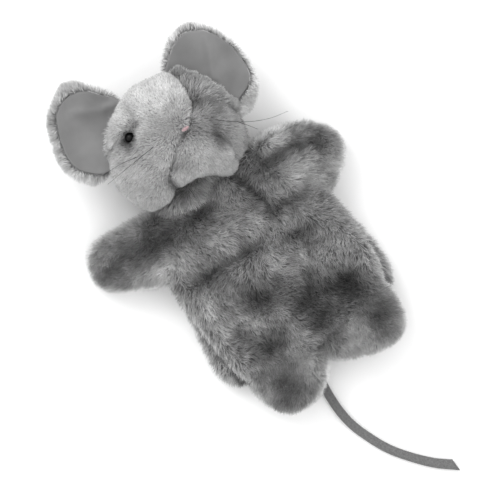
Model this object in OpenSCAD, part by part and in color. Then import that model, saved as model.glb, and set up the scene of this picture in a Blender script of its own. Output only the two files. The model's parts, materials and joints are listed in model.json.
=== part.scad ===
// Plush mouse glove puppet lying on its back, face up. Millimetres.
// The back panel rests on z = 0, +Y runs to the head and the puppet's own right side is at -X.

/* [Body] */
// Width across the hips of the back panel
hip_w = 144; // [126:1:170]
// Width of the body between the armholes and the hips
waist_w = 134; // [118:1:150]
// Width of the front panel at the hips
front_hip_w = 124; // [112:1:138]
// Distance from the origin down to the hem of the back panel
hem_drop = 58; // [50:1:70]
// Distance from the origin up to the neck hinge
neck_rise = 72; // [66:1:84]
// Thickness of the flat body
body_h = 40; // [36:1:48]
// Thickness of a plush panel, backing and pile
panel_t = 8; // [6:0.5:9]
// Thickness of the side seams of the body
side_t = 9; // [7:0.5:12]
// Thickness of the lining cloth
lining_t = 1; // [0.8:0.1:1.5]
// Width of the binding along the hem
binding_w = 3; // [2:0.5:4]

/* [Arms] */
// Half thickness of an arm
arm_r = 15; // [12.5:0.5:17]
// Length of the right arm beyond its shoulder seam
right_arm_l = 46; // [38:1:56]
// Width of the right arm at the shoulder
right_arm_w = 50; // [42:1:54]
// Length of the left arm beyond its shoulder seam
left_arm_l = 40; // [34:1:50]
// Width of the left arm at the shoulder
left_arm_w = 54; // [45:1:56]
// How much narrower an arm is at its tip
arm_taper = 10; // [4:1:14]
// Width of the finger pocket in an arm
finger_w = 26; // [22:1:30]
// Height of the finger pocket in an arm
finger_h = 16; // [13:0.5:18]

/* [Feet] */
// Width of one foot
foot_w = 57; // [48:1:60]
// Length of a foot beyond its hinge line
foot_l = 37; // [31:1:45]
// Height of a foot's sole above the surface
sole_z = 7.5; // [7:0.5:9]
// Half thickness of the plush strip that joins a foot to the front panel
strip_r = 5; // [4:0.5:6]

/* [Neck and head] */
// Half thickness of the neck collar
neck_r = 14; // [13:0.5:15]
// Width of the neck collar
neck_w = 40; // [36:1:46]
// Length of the neck collar beyond its hinge
neck_l = 8; // [7:0.5:12]
// Radius of the skull
head_r = 42; // [38:1:46]
// Thickness of the head's plush panels
face_t = 4; // [3:0.5:5]
// Inside radius of the finger tube in the head
tube_r = 9.5; // [8:0.5:10]
// Length of the finger tube
tube_l = 45; // [38:1:52]
// Radius of an eye bead
eye_r = 4; // [3.2:0.2:5]

/* [Ears] */
// How far the right ear stands out of the head
right_ear_l = 40; // [34:1:48]
// How far the left ear stands out of the head
left_ear_l = 38; // [32:1:46]
// Width of an ear
ear_w = 72; // [60:1:78]
// Half thickness of an ear's sewn root
ear_r = 4; // [3:0.5:5]

/* [Tail] */
// Width of the flat tail
tail_w = 6.5; // [5:0.5:6.5]

/* [Hidden] */
$fn = 48;
gap = 0.4;
seam_gap = 0.3;
rest_gap = 0.1;
big = 400;

// Body
pocket_top = body_h - panel_t;
axis_x = -2;
axis_z = 22;
neck_top_z = 28;
chamfer = 18;
crease_y = 40;
outline_r = 8;
pocket_end = neck_rise - neck_r - gap - 6;
foot_hinge_y = -hem_drop - 4;
foot_hinge_z = body_h - strip_r;

// Arms, each as [hinge x, hinge y, direction in degrees, length, root width]
right_arm = [-waist_w / 2 + 6, 60, 176, right_arm_l, right_arm_w];
left_arm = [waist_w / 2 - 7, 52, -14, left_arm_l, left_arm_w];
arm_tip_r = 15;
arm_end_t = 9;

// Head
head = [axis_x, neck_rise + neck_l + head_r - 2, head_r];
right_cheek_r = 29;
left_cheek_r = 27;
muzzle_r = 23;
right_cheek_c = head + [-22, -10, -2];
left_cheek_c = head + [20, -14, -4];
muzzle_c = head + [10, -15, 24];
tube_t = 1;
seat_y = neck_rise + neck_l + gap;
seat_r = 26;
tube_hole_r = tube_r + tube_t;
nose_r = 2.6;
stitch_r = 0.7;
// The mouth stitch runs round the muzzle's ball between these angles, measured from +Y, and is turned about Z
mouth_start = 118;
mouth_end = 160;
mouth_turn = -20;
washer_r = 6;
washer_t = 1.2;
shank_r = 1.2;
eye_seat = head_r - face_t;
// Eye directions as [turn to the puppet's left, lift towards the crown]
right_eye_at = [-32, 21];
left_eye_at = [62, 11];
whisker_r = 0.35;

// Ears, each as [direction in degrees, length]
right_ear = [135, right_ear_l];
left_ear = [22, left_ear_l];
ear_root_w = 52;
ear_low = 4;
ear_plush_top = 1.5;
ear_lining_t = 1.5;
ear_hem = 6;

// Route of the tail along its centre line, counted back from the hem
tail_z = tail_w / 2 + 0.05;
tail_x = -8;
tail_start = -hem_drop - 2 * binding_w;
tail_route = [for (p = [[-8, 0], [-12, 12], [-16, 28], [-17, 46], [-15, 62], [-10, 77],
    [-4, 90], [4, 103], [16, 118], [28, 129]]) [p.x, tail_start - p.y]];
tail_sides = 8;

// ---------- helpers ----------

module slab(z0, z1) translate([0, 0, z0]) linear_extrude(z1 - z0) children();

module rounded(r) offset(r = r) offset(delta = -r) children();

// A plate from x0 to x1 whose outline is drawn in the Y-Z plane
module side_plate(x0, x1)
    translate([x0, 0, 0]) rotate([90, 0, 90]) linear_extrude(x1 - x0) children();

// A bar along X of radius r through the given y and z
module bar_x(r, w, y, z, x = 0) translate([x, y, z]) rotate([0, 90, 0]) cylinder(r = r, h = w, center = true);

// A bar along Y of radius r on the finger axis
module finger_bar(r, y0, y1) translate([axis_x, y0, axis_z]) rotate([-90, 0, 0]) cylinder(r = r, h = y1 - y0);

// ---------- body ----------

module body_outline(hip) rounded(outline_r)
    polygon([[-22, neck_rise], [-40, neck_rise + 2], [-waist_w / 2 + 2, neck_rise + 14],
        [-waist_w / 2, neck_rise - 10], [-waist_w / 2, 10], [-hip / 2, -18], [-hip / 2, 14 - hem_drop],
        [-hip / 2 + 8, -hem_drop], [hip / 2 - 8, -hem_drop], [hip / 2, 14 - hem_drop], [hip / 2, -18],
        [waist_w / 2, 10], [waist_w / 2, neck_rise - 10], [waist_w / 2 - 2, neck_rise + 10],
        [38, neck_rise + 2], [18, neck_rise]]);

module armhole(arm) translate([arm[0], arm[1]]) rotate(arm[2])
    translate([-arm_r - gap, -arm[4] / 2 - gap]) square([big, arm[4] + 2 * gap]);

module both_armholes() {
    armhole(right_arm);
    armhole(left_arm);
}

module pocket_outline(inset) difference() {
    offset(delta = -inset) union() {
        polygon([[-waist_w / 2, pocket_end + side_t], [-waist_w / 2, 10], [-front_hip_w / 2, -18],
            [-front_hip_w / 2, -hem_drop - big / 2], [front_hip_w / 2, -hem_drop - big / 2],
            [front_hip_w / 2, -18], [waist_w / 2, 10], [waist_w / 2, pocket_end + side_t]]);
    }
    translate([-big / 2, -hem_drop - big]) square([big, big]);
}

// The nested seat that the neck collar turns in, and the way for the finger behind it
module neck_room() {
    bar_x(neck_r + gap, neck_w + 2 * gap, neck_rise, axis_z, axis_x);
    finger_bar(tube_hole_r, pocket_end - 2 * side_t, neck_rise);
}

module torso_back() color("gray") difference() {
    slab(0, panel_t) difference() {
        body_outline(hip_w);
        both_armholes();
    }
    neck_room();
}

module torso_front() color("dimgray") difference() {
    intersection() {
        slab(panel_t, body_h) difference() {
            body_outline(front_hip_w);
            both_armholes();
            translate([-big / 2, foot_hinge_y + strip_r + gap - big]) square([big, big]);
        }
        side_plate(-big / 2, big / 2)
            polygon([[-big, 0], [-big, body_h], [crease_y, body_h], [neck_rise, neck_top_z],
                [big / 2, neck_top_z], [big / 2, 0]]);
        rotate([90, 0, 0]) linear_extrude(big, center = true)
            polygon([[-big / 2, 0], [-hip_w / 2, body_h - chamfer - 2], [-waist_w / 2 + chamfer / 2, body_h],
                [waist_w / 2 - chamfer / 2, body_h], [hip_w / 2, body_h - chamfer - 2], [big / 2, 0]]);
    }
    slab(0, pocket_top) pocket_outline(side_t);
    neck_room();
}

module lining_back() color("lightsteelblue") slab(panel_t, panel_t + lining_t) difference() {
    pocket_outline(side_t);
    both_armholes();
}

module lining_front() color("lightsteelblue") difference() {
    slab(panel_t + lining_t, pocket_top) difference() {
        pocket_outline(side_t);
        both_armholes();
        translate([-big / 2, foot_hinge_y + strip_r + gap - big]) square([big, big]);
    }
    slab(0, pocket_top - lining_t) pocket_outline(side_t + lining_t);
    neck_room();
}

module hem_binding() color("slategray") {
    span = front_hip_w / 2 - side_t;
    translate([0, -hem_drop - binding_w, 0]) rotate([90, 0, 0]) translate([0, 0, -binding_w])
        linear_extrude(binding_w) difference() {
            translate([-span - 6, 1]) square([2 * span + 12, foot_hinge_z - strip_r - 4]);
            translate([-span, panel_t + lining_t]) square([2 * span, big]);
        }
}

module tail_tab() color("darkslategray")
    translate([tail_x - 8, tail_start, 0.5]) cube([16, binding_w, tail_w]);

function tail_dir(i) = let (n = len(tail_route) - 1,
    d = i == 0 ? [0, -1] : tail_route[min(i + 1, n)] - tail_route[i - 1]) d / norm(d);

module tail() color("dimgray") {
    rings = len(tail_route);
    polyhedron(
        points = [for (i = [0 : rings - 1]) let (d = tail_dir(i)) for (k = [0 : tail_sides - 1])
            let (a = 360 * k / tail_sides) [tail_route[i].x - d.y * cos(a) * tail_w / 2,
                tail_route[i].y + d.x * cos(a) * tail_w / 2, tail_z + sin(a) * tail_w / 2]],
        faces = concat(
            [[for (k = [0 : tail_sides - 1]) k]],
            [for (i = [0 : rings - 2]) for (k = [0 : tail_sides - 1]) let (m = (k + 1) % tail_sides,
                a = i * tail_sides) [a + m, a + k, a + k + tail_sides, a + m + tail_sides]],
            [[for (k = [0 : tail_sides - 1]) rings * tail_sides - 1 - k]]));
}

// ---------- neck ----------

module neck_collar() color("gray") difference() {
    union() {
        bar_x(neck_r, neck_w, neck_rise, axis_z, axis_x);
        translate([axis_x - neck_w / 2, neck_rise, axis_z - neck_r]) cube([neck_w, neck_l, 2 * neck_r]);
    }
    translate([-big / 2, neck_rise + neck_l, 0]) cube(big);
    finger_bar(tube_r, neck_rise - neck_r - 1, neck_rise + neck_l + 1);
    neck_groove();
}

module neck_ring(out) translate([axis_x - neck_w / 2 - out, neck_rise + 3, axis_z - neck_r - out])
    cube([neck_w + 2 * out, 3, 2 * (neck_r + out)]);

module neck_groove() difference() {
    neck_ring(1);
    neck_ring(-lining_t);
}

module neck_elastic() color("white") difference() {
    neck_ring(0);
    neck_ring(-lining_t);
}

// ---------- head ----------

module ball(c, r) translate(c) sphere(r = r);

// The head's whole form, with its surface moved in by inset
module head_form(inset) {
    ball(head, head_r - inset);
    ball(right_cheek_c, right_cheek_r - inset);
    ball(left_cheek_c, left_cheek_r - inset);
    ball(muzzle_c, muzzle_r - inset);
}

module neck_seat() {
    finger_bar(seat_r, neck_rise - head_r, seat_y);
    finger_bar(tube_hole_r, seat_y - 1, seat_y + tube_l);
}

// Turns the local +Z axis to point out of the skull at an eye
module at_eye(at) translate(head) rotate([0, at[0], 0]) rotate([-at[1], 0, 0]) children();

module eye_shanks(r) for (at = [right_eye_at, left_eye_at])
    at_eye(at) translate([0, 0, eye_seat - 3]) cylinder(r = r, h = face_t + 4);

module face_skin() difference() {
    head_form(0);
    head_form(face_t);
    neck_seat();
    eye_shanks(shank_r + 0.1);
}

module forehead_outline() translate([head.x, head.y]) rounded(4)
    polygon([[-big, 8], [-26, 8], [-14, 4], [24, 0], [big, 0], [big, big], [-big, big]]);

module muzzle_outline() translate([muzzle_c.x, muzzle_c.y]) circle(r = muzzle_r - 1);

module chin_line() translate([head.x - big, -big / 2]) square([big, big]);

module head_back() color("gray") difference() {
    head_form(0);
    head_form(face_t);
    neck_seat();
    slab(head.z, big) square(big, center = true);
}

module face_panel() intersection() {
    face_skin();
    slab(head.z + seam_gap, big) children();
}

module forehead_panel() color("gainsboro") face_panel() difference() {
    forehead_outline();
    offset(delta = seam_gap) muzzle_outline();
}

module right_cheek() color("silver") face_panel() difference() {
    chin_line();
    offset(delta = seam_gap) forehead_outline();
    offset(delta = seam_gap) muzzle_outline();
}

module left_cheek() color("silver") face_panel() difference() {
    square(big, center = true);
    offset(delta = seam_gap) chin_line();
    offset(delta = seam_gap) forehead_outline();
    offset(delta = seam_gap) muzzle_outline();
}

module muzzle() color("lightgray") face_panel() muzzle_outline();

module head_stuffing() color("white") difference() {
    head_form(face_t + rest_gap);
    neck_seat();
    eye_shanks(shank_r + 0.1);
    for (at = [right_eye_at, left_eye_at])
        at_eye(at) translate([0, 0, eye_seat - 2 - washer_t]) cylinder(r = washer_r + gap, h = washer_t + 4);
}

module finger_tube() color("tan") difference() {
    finger_bar(tube_hole_r, seat_y, seat_y + tube_l);
    finger_bar(tube_r, seat_y - 1, seat_y + tube_l + 1);
}

module eye(at) color("black") difference() {
    at_eye(at) {
        translate([0, 0, head_r]) sphere(r = eye_r);
        translate([0, 0, eye_seat - 3]) cylinder(r = shank_r, h = face_t + 4);
    }
    difference() {
        head_form(-rest_gap);
        at_eye(at) cylinder(r = shank_r + rest_gap, h = head_r + 1);
    }
}

module eye_washer(at) color("ivory") at_eye(at) translate([0, 0, eye_seat - 2 - washer_t]) difference() {
    cylinder(r = washer_r, h = washer_t);
    translate([0, 0, -1]) cylinder(r = shank_r, h = washer_t + 2);
}

module right_eye() eye(right_eye_at);
module left_eye() eye(left_eye_at);
module right_eye_washer() eye_washer(right_eye_at);
module left_eye_washer() eye_washer(left_eye_at);

// The nose and the mouth stitch lie on the muzzle's ball
module nose() color("lightpink") difference() {
    translate(muzzle_c) rotate([-29, 12, 0]) translate([0, 0, muzzle_r]) sphere(r = nose_r);
    ball(muzzle_c, muzzle_r + rest_gap);
}

module mouth_stitch() color("dimgray") difference() {
    translate(muzzle_c) rotate([0, 0, mouth_turn]) rotate([90, 0, 90])
        rotate_extrude(angle = mouth_end - mouth_start, start = mouth_start)
            translate([muzzle_r + 0.2, 0]) circle(r = stitch_r);
    ball(muzzle_c, muzzle_r + rest_gap);
}

module hair(a, b) translate(a) rotate([0, acos((b - a).z / norm(b - a)), atan2((b - a).y, (b - a).x)])
    cylinder(r = whisker_r, h = norm(b - a));

module right_whiskers() color("darkgray") difference() {
    union() {
        hair(head + [-15, -4, 37], head + [-56, -3, 21]);
        hair(head + [-26, -1, 30], head + [-52, 3, 22]);
    }
    head_form(-rest_gap);
}

module left_whiskers() color("darkgray") difference() {
    union() {
        hair(head + [33, -17, 12], head + [79, -34, 2]);
        hair(head + [35, -20, 8], head + [60, -32, 9]);
    }
    head_form(-rest_gap);
}

// ---------- ears ----------

module at_ear(ear) translate(head) rotate(ear[0]) translate([head_r + ear_r + gap, 0, 0]) children();

module ear_outline(ear) intersection() {
    rounded(22) polygon([[-24, -ear_root_w / 2], [6, -ear_w / 2], [ear[1] - 8, -ear_w / 2],
        [ear[1], -ear_w / 4], [ear[1], ear_w / 4], [ear[1] - 8, ear_w / 2], [6, ear_w / 2],
        [-24, ear_root_w / 2]]);
    translate([0, -big / 2]) square(big);
}

module ear_plush(ear) color("darkgray") at_ear(ear) {
    rotate([90, 0, 0]) cylinder(r = ear_r, h = ear_root_w, center = true);
    slab(-ear_low, ear_plush_top) difference() {
        ear_outline(ear);
        translate([-1, ear_root_w / 2]) square([ear_r, big]);
        translate([-1, -ear_root_w / 2 - big]) square([ear_r, big]);
    }
}

module ear_lining(ear) color("dimgray") at_ear(ear) slab(ear_plush_top, ear_plush_top + ear_lining_t)
    intersection() {
        offset(delta = -ear_hem) ear_outline(ear);
        translate([ear_r + 1, -big / 2]) square(big);
    }

module right_ear_plush() ear_plush(right_ear);
module right_ear_lining() ear_lining(right_ear);
module left_ear_plush() ear_plush(left_ear);
module left_ear_lining() ear_lining(left_ear);

// ---------- arms ----------

module at_arm(arm) translate([arm[0], arm[1], arm_r]) rotate(arm[2]) children();

module arm_outline(arm) rounded(arm_tip_r)
    polygon([[-big / 4, -arm[4] / 2], [0, -arm[4] / 2], [arm[3], (arm_taper - arm[4]) / 2],
        [arm[3], (arm[4] - arm_taper) / 2], [0, arm[4] / 2], [-big / 4, arm[4] / 2]]);

module arm_form(arm) {
    rotate([90, 0, 0]) cylinder(r = arm_r, h = arm[4], center = true);
    intersection() {
        slab(-arm_r, arm_r) arm_outline(arm);
        rotate([90, 0, 0]) linear_extrude(big, center = true) intersection() {
            rounded(arm_r - 1) translate([-big / 4, -arm_r]) square([big / 4 + arm[3], 2 * arm_r]);
            translate([0, -big / 2]) square(big);
        }
    }
}

module finger_room(arm, inset) slab(inset - finger_h / 2, finger_h / 2 - inset) offset(delta = -inset)
    translate([-2 * arm_r, -finger_w / 2]) square([2 * arm_r + arm[3] - arm_end_t, finger_w]);

module arm_half(arm, z0) color("gray") at_arm(arm) difference() {
    intersection() {
        arm_form(arm);
        translate([-big / 2, -big / 2, z0]) cube([big, big, arm_r + 1]);
    }
    finger_room(arm, 0);
}

module arm_lining(arm) color("lightsteelblue") at_arm(arm) difference() {
    intersection() {
        finger_room(arm, 0);
        union() {
            rotate([90, 0, 0]) cylinder(r = arm_r, h = arm[4], center = true);
            translate([0, -big / 2, -arm_r]) cube([big, big, 2 * arm_r]);
        }
    }
    translate([-2 * lining_t, 0, 0]) finger_room([0, 0, 0, arm[3] + 2 * lining_t, 0], lining_t);
    translate([-arm_r - 2 * lining_t, 0, 0]) finger_room([0, 0, 0, 0, 0], lining_t);
}

module right_arm_front() arm_half(right_arm, 0);
module right_arm_back() arm_half(right_arm, -arm_r - 1);
module right_arm_lining() arm_lining(right_arm);
module left_arm_front() arm_half(left_arm, 0);
module left_arm_back() arm_half(left_arm, -arm_r - 1);
module left_arm_lining() arm_lining(left_arm);

// ---------- feet ----------

foot_top_z = body_h - 2;
foot_seam_z = (sole_z + foot_top_z) / 2;
foot_split_x = -2;
foot_start = foot_hinge_y - strip_r;

// side is -1 for the puppet's right foot and 1 for its left
module foot_outline(side) translate([foot_split_x, foot_hinge_y]) scale([side, 1])
    intersection() {
        rounded(14) polygon([[1, 40], [1, 8 - foot_l / 2], [14, 8 - foot_l], [foot_w / 2, -foot_l],
            [foot_w - 10, 3 - foot_l], [foot_w, -foot_l / 2], [foot_w, 40]]);
        translate([0, -big]) square([big, big - strip_r]);
    }

module foot_strip(side) translate([foot_split_x, 0, 0]) scale([side, 1, 1]) {
    bar_x(strip_r, foot_w - 4, foot_hinge_y, foot_hinge_z, foot_w / 2);
    translate([2, foot_start - 3, foot_hinge_z - strip_r]) cube([foot_w - 4, strip_r + 3, 2 * strip_r]);
}

module foot_core(side) slab(sole_z + panel_t - 2, foot_top_z - panel_t) offset(delta = -panel_t)
    foot_outline(side);

module foot_top(side) color("dimgray") difference() {
    union() {
        slab(foot_seam_z, foot_top_z) foot_outline(side);
        foot_strip(side);
    }
    foot_core(side);
}

module foot_sole(side) color("gray") difference() {
    slab(sole_z, foot_seam_z) foot_outline(side);
    foot_core(side);
}

module foot_stuffing(side) color("white") foot_core(side);

module right_foot_top() foot_top(-1);
module right_foot_sole() foot_sole(-1);
module right_foot_stuffing() foot_stuffing(-1);
module left_foot_top() foot_top(1);
module left_foot_sole() foot_sole(1);
module left_foot_stuffing() foot_stuffing(1);

torso_back();
torso_front();
lining_back();
lining_front();
hem_binding();
tail_tab();
tail();
neck_collar();
neck_elastic();
head_back();
forehead_panel();
right_cheek();
left_cheek();
muzzle();
head_stuffing();
finger_tube();
right_eye();
left_eye();
right_eye_washer();
left_eye_washer();
nose();
mouth_stitch();
right_whiskers();
left_whiskers();
right_ear_plush();
right_ear_lining();
left_ear_plush();
left_ear_lining();
right_arm_front();
right_arm_back();
right_arm_lining();
left_arm_front();
left_arm_back();
left_arm_lining();
right_foot_top();
right_foot_sole();
right_foot_stuffing();
left_foot_top();
left_foot_sole();
left_foot_stuffing();
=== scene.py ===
import bpy
import bmesh
import json
import math
import numpy as np
from mathutils import Matrix, Vector, noise


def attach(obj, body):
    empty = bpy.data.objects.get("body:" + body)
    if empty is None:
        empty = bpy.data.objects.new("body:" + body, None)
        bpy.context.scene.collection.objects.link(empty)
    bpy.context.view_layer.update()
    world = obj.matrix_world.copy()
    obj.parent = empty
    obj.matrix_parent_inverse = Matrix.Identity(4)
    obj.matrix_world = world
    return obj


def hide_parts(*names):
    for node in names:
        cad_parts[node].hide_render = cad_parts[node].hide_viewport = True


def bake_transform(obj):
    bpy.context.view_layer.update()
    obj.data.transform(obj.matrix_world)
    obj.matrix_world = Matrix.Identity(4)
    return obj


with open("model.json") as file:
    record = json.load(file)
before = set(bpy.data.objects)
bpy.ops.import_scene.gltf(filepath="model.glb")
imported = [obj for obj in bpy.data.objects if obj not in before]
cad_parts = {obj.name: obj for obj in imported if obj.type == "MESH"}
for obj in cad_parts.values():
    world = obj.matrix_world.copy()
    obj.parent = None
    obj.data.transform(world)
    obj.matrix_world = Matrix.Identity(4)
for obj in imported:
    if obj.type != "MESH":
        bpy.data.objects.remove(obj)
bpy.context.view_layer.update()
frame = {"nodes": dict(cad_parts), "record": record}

mm = 0.001


# the camera looks straight down, turned so that the puppet's head points up and to the left
view = {"turn": 36, "centre": (-1.4, 19.6), "width": 360, "distance": 4000, "lookAtZ": 25}


def setCamera():
    cam = bpy.data.objects.new("camera", bpy.data.cameras.new("camera"))
    bpy.context.scene.collection.objects.link(cam)
    cam.data.sensor_width = 36
    cam.data.lens = 36 * view["distance"] / view["width"]
    cam.data.clip_end = 20
    place = Matrix.Rotation(math.radians(-view["turn"]), 4, "Z")
    x, y = view["centre"]
    place.translation = (x * mm, y * mm, (view["distance"] + view["lookAtZ"]) * mm)
    cam.matrix_world = place
    bpy.context.scene.camera = cam


studio = {"world": 1.2, "key": 7.0, "keyAt": (-0.15, 1.0, 1.15), "keySize": 0.7,
          "fill": 2.5, "fillAt": (0.9, -0.7, 1.3), "fillSize": 1.4, "floor": "#FAFAFA"}


def setStudio():
    world = bpy.data.worlds.new("studio")
    world.use_nodes = True
    world.node_tree.nodes["Background"].inputs["Color"].default_value = (1, 1, 1, 1)
    world.node_tree.nodes["Background"].inputs["Strength"].default_value = studio["world"]
    scene = bpy.context.scene
    scene.world = world
    scene.view_settings.view_transform = "Standard"
    for name in ("key", "fill"):
        light = bpy.data.objects.new(name, bpy.data.lights.new(name, "AREA"))
        light.data.energy = studio[name]
        light.data.size = studio[name + "Size"]
        light.location = studio[name + "At"]
        light.rotation_euler = (Vector((0, 0.02, 0)) - light.location).to_track_quat("-Z", "Y").to_euler()
        scene.collection.objects.link(light)
    form = bmesh.new()
    bmesh.ops.create_grid(form, x_segments=1, y_segments=1, size=3)
    floor = putPiece("floor", form)
    floor.data.materials.append(plainMaterial("paperSweep", studio["floor"], 0.9))


def toLinear(hexColor):
    parts = [int(hexColor[i:i + 2], 16) / 255 for i in (1, 3, 5)]
    return [c / 12.92 if c <= 0.04045 else ((c + 0.055) / 1.055) ** 2.4 for c in parts] + [1]


def putPiece(name, form):
    data = bpy.data.meshes.new(name)
    form.to_mesh(data)
    form.free()
    data.shade_smooth()
    piece = bpy.data.objects.new(name, data)
    bpy.context.scene.collection.objects.link(piece)
    return piece


def applyModifiers(piece):
    bpy.context.view_layer.update()
    ready = piece.evaluated_get(bpy.context.evaluated_depsgraph_get())
    data = bpy.data.meshes.new_from_object(ready, preserve_all_data_layers=True,
                                           depsgraph=bpy.context.evaluated_depsgraph_get())
    old = piece.data
    piece.modifiers.clear()
    piece.data = data
    bpy.data.meshes.remove(old)
    data.name = piece.name
    return piece


def points(piece):
    co = np.empty(len(piece.data.vertices) * 3, np.float32)
    piece.data.vertices.foreach_get("co", co)
    return co.reshape(-1, 3).astype(float)


def setPoints(piece, co):
    piece.data.vertices.foreach_set("co", co.astype(np.float32).ravel())
    piece.data.update()


def normalsOf(piece):
    n = np.empty(len(piece.data.vertices) * 3, np.float32)
    piece.data.vertices.foreach_get("normal", n)
    return n.reshape(-1, 3).astype(float)


def addNode(tree, kind, settings=None, inputs=None):
    node = tree.nodes.new(kind)
    for key, value in (settings or {}).items():
        setattr(node, key, value)
    for key, value in (inputs or {}).items():
        socket = node.inputs[key]
        if isinstance(value, bpy.types.NodeSocket):
            tree.links.new(value, socket)
        else:
            socket.default_value = value
    return node


def newMaterial(name, roughness, sheen=0.0):
    material = bpy.data.materials.new(name)
    material.use_nodes = True
    shader = material.node_tree.nodes["Principled BSDF"]
    shader.inputs["Roughness"].default_value = roughness
    shader.inputs["Sheen Weight"].default_value = sheen
    shader.inputs["Sheen Roughness"].default_value = 0.5
    shader.inputs["Specular IOR Level"].default_value = 0.2
    return material, material.node_tree, shader


def plainMaterial(name, color, roughness):
    material, tree, shader = newMaterial(name, roughness)
    shader.inputs["Base Color"].default_value = toLinear(color)
    return material


def rampNode(tree, factor, stops):
    ramp = addNode(tree, "ShaderNodeValToRGB", None, {"Fac": factor})
    band = ramp.color_ramp
    while len(band.elements) < len(stops):
        band.elements.new(0.5)
    for element, (at, color) in zip(band.elements, stops):
        element.position = at
        element.color = toLinear(color)
    return ramp


# tone 0 is the darkest pile and 1 the palest
toneStops = [(0.0, "#1C1C1C"), (0.25, "#4E4E4E"), (0.5, "#868686"), (0.75, "#C2C2C2"), (1.0, "#FFFFFF")]
# along each fibre: painted shade at the root and painted light at the tip
rootShadeTipLightStops = [(0.0, "#8C8C8C"), (0.3, "#CFCFCF"), (0.65, "#F8F8F8"), (1.0, "#FFFFFF")]


def acrylicPile():
    # acrylic plush pile, sheared: matt fibres with a soft sheen; the colour is darker at the root, painted
    # shade inside the pile, and pale at the tip, painted light on the fibre tips
    material, tree, shader = newMaterial("acrylicPile", 0.75, 0.25)
    uv = addNode(tree, "ShaderNodeUVMap", {"uv_map": "OFBake"})
    split = addNode(tree, "ShaderNodeSeparateXYZ", None, {"Vector": uv.outputs["UV"]})
    tone = rampNode(tree, split.outputs["X"], toneStops)
    along = rampNode(tree, split.outputs["Y"], rootShadeTipLightStops)
    mix = addNode(tree, "ShaderNodeMix", {"data_type": "RGBA", "blend_type": "MULTIPLY"},
                  {0: 1.0, 6: tone.outputs["Color"], 7: along.outputs["Color"]})
    tree.links.new(mix.outputs[2], shader.inputs["Base Color"])
    return material


def knittedBacking():
    # knitted backing seen between the fibres: the pile's own colour, in shade, with the knit's small loops
    material, tree, shader = newMaterial("knittedBacking", 0.95, 0.1)
    tone = addNode(tree, "ShaderNodeAttribute", {"attribute_name": "tone"})
    ramp = rampNode(tree, tone.outputs["Fac"], toneStops)
    where = addNode(tree, "ShaderNodeTexCoord")
    loops = addNode(tree, "ShaderNodeTexNoise", None,
                    {"Vector": where.outputs["Object"], "Scale": 1 / (1.2 * mm), "Detail": 2.0})
    shade = rampNode(tree, loops.outputs["Fac"], [(0.3, "#8E8E8E"), (0.7, "#D8D8D8")])
    mix = addNode(tree, "ShaderNodeMix", {"data_type": "RGBA", "blend_type": "MULTIPLY"},
                  {0: 1.0, 6: ramp.outputs["Color"], 7: shade.outputs["Color"]})
    tree.links.new(mix.outputs[2], shader.inputs["Base Color"])
    bump = addNode(tree, "ShaderNodeBump", None,
                   {"Height": loops.outputs["Fac"], "Strength": 0.5, "Distance": 0.4 * mm})
    tree.links.new(bump.outputs["Normal"], shader.inputs["Normal"])
    return material


def wovenCloth(name, dark, pale, thread, roughness, sheen, wrinkle=0.3, relief=0.35):
    # woven cloth: two crossed thread waves and a slow crease noise bump the normal; the colour darkens in the
    # low parts of both, painted shade that changes slowly where the cloth is creased
    material, tree, shader = newMaterial(name, roughness, sheen)
    where = addNode(tree, "ShaderNodeTexCoord")
    waves = []
    for axis in ("X", "Y"):
        waves.append(addNode(tree, "ShaderNodeTexWave", {"bands_direction": axis},
                             {"Vector": where.outputs["Object"], "Scale": 0.314 / (thread * mm) / 2,
                              "Distortion": 0.6, "Detail": 1.0}))
    weave = addNode(tree, "ShaderNodeMath", {"operation": "MULTIPLY"},
                    {0: waves[0].outputs["Fac"], 1: waves[1].outputs["Fac"]})
    cloud = addNode(tree, "ShaderNodeTexNoise", None,
                    {"Vector": where.outputs["Object"], "Scale": 1 / (28 * mm), "Detail": 3.0})
    total = addNode(tree, "ShaderNodeMath", {"operation": "MULTIPLY_ADD"},
                    {0: weave.outputs[0], 1: relief * 0.7, 2: cloud.outputs["Fac"]})
    ramp = rampNode(tree, total.outputs[0], [(0.3, dark), (0.9, pale)])
    tree.links.new(ramp.outputs["Color"], shader.inputs["Base Color"])
    crease = addNode(tree, "ShaderNodeBump", None,
                     {"Height": cloud.outputs["Fac"], "Strength": wrinkle, "Distance": 3 * mm})
    bump = addNode(tree, "ShaderNodeBump", None,
                   {"Height": weave.outputs[0], "Strength": relief, "Distance": 0.15 * mm,
                    "Normal": crease.outputs["Normal"]})
    tree.links.new(bump.outputs["Normal"], shader.inputs["Normal"])
    return material


def grainy(name, dark, pale, grain, roughness, bumpHeight=0.2):
    # matt mass of short fibres or particles: felt, fibre fill, board, moulded plastic
    material, tree, shader = newMaterial(name, roughness)
    where = addNode(tree, "ShaderNodeTexCoord")
    specks = addNode(tree, "ShaderNodeTexNoise", None,
                     {"Vector": where.outputs["Object"], "Scale": 1 / (grain * mm),
                      "Detail": 4.0, "Roughness": 0.65})
    ramp = rampNode(tree, specks.outputs["Fac"], [(0.3, dark), (0.7, pale)])
    tree.links.new(ramp.outputs["Color"], shader.inputs["Base Color"])
    bump = addNode(tree, "ShaderNodeBump", None,
                   {"Height": specks.outputs["Fac"], "Strength": 0.6, "Distance": bumpHeight * mm})
    tree.links.new(bump.outputs["Normal"], shader.inputs["Normal"])
    return material


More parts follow.
